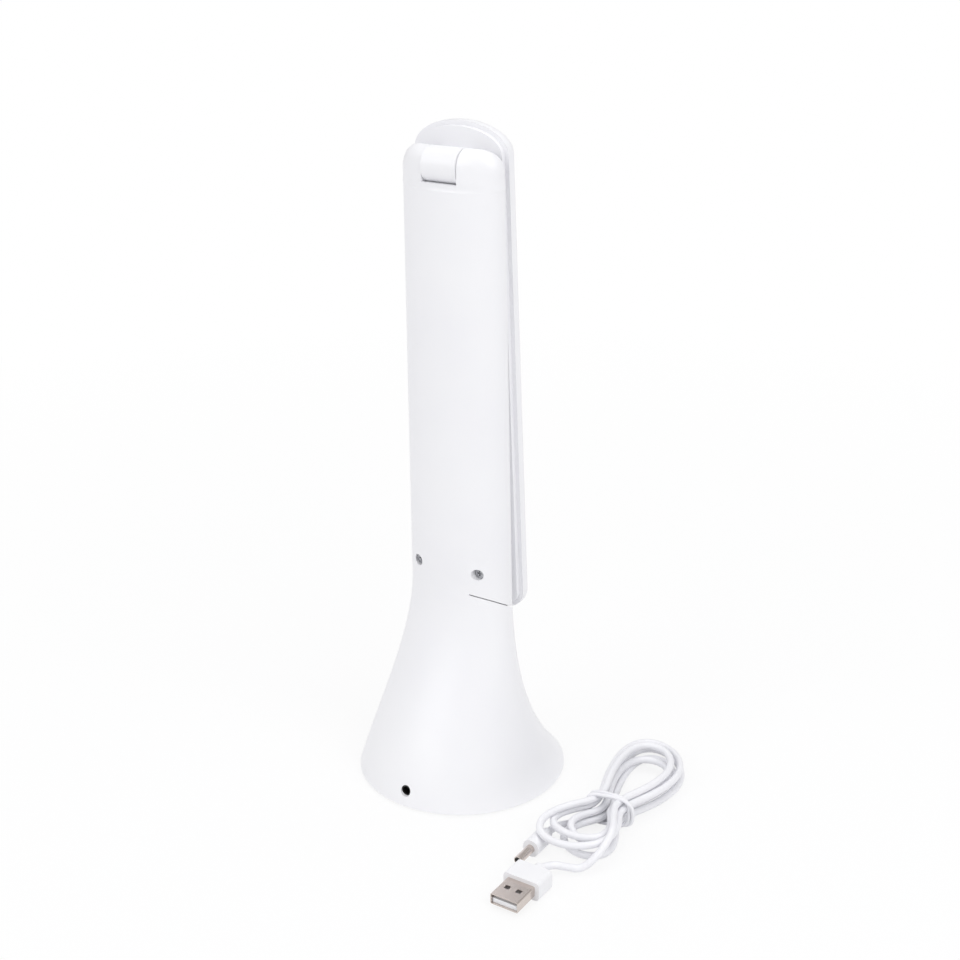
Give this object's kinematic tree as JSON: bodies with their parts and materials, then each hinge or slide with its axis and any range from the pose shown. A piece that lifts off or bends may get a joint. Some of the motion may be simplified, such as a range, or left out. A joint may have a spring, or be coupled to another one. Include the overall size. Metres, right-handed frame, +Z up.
{
  "type": "folding led desk lamp",
  "caption": "Folding desk lamp: trumpet foot, oval stem, flat light head on a friction hinge, push button, charging socket and a loose charging lead in a hank.",
  "frame": {"origin": "on the table, under the middle of the foot", "axes": "+Z up; +Y to the back with the charging socket; -Y to the front where the head lies folded; X along the hinge"},
  "size_m": [0.1346, 0.1322, 0.2731],
  "materials": {
    "white_shell": "smooth white moulding, softly glossy",
    "white_cord": "soft white cord jacket",
    "white_grip": "white moulded grip",
    "opal_diffuser": "milky light cover",
    "black_moulding": "black moulding",
    "foot_rubber": "soft dark pad",
    "screw_steel": "bright plated steel",
    "ballast_steel": "plain steel",
    "nickel_contact": "nickel plate",
    "sleeve_brass": "plain brass",
    "cell_can": "sleeved metal can",
    "circuit_board": "green laminate",
    "led_phosphor": "yellow lit faces"
  },
  "bodies": {
    "stand": {"base_shell": "white_shell", "base_plate": "white_shell", "base_plate_screws": "screw_steel", "rubber_feet": "foot_rubber", "ballast_disc": "ballast_steel", "battery_cradle": "black_moulding", "battery_cell": "cell_can", "control_board": "circuit_board", "dc_jack": "black_moulding", "dc_jack_contact": "nickel_contact", "switch_board": "circuit_board", "tact_switch": "black_moulding", "stem_shell": "white_shell", "stem_front_panel": "white_shell", "stem_screws": "screw_steel", "hinge_pin": "screw_steel", "hinge_pin_cap": "white_shell", "stem_lead": "black_moulding", "cable_hank": "white_cord", "cable_tail_usb": "white_cord", "cable_tail_dc": "white_cord", "cable_tie": "white_cord", "usb_shell": "nickel_contact", "usb_tongue": "white_grip", "usb_grip": "white_grip", "dc_plug_sleeve": "nickel_contact", "dc_plug_insert": "black_moulding", "dc_plug_grip": "white_grip"},
    "head": {"head_shell": "white_shell", "head_frame": "white_shell", "diffuser": "opal_diffuser", "led_board": "circuit_board", "led_chips": "led_phosphor", "friction_sleeves": "sleeve_brass"},
    "button": {"power_button": "white_shell"}
  },
  "joints": [
    {"name": "head_fold", "type": "hinge", "parent": "stand", "child": "head", "pos_m": [0, 0.0053, 0.2575], "axis": [-1, 0, 0], "range_deg": [0, 170]},
    {"name": "button_press", "type": "slide", "parent": "stand", "child": "button", "axis": [0, 0.9553, -0.2955], "range_m": [0, 0.0008], "stiffness_N_per_m": 1500, "springref_m": -0.0005}
  ]
}
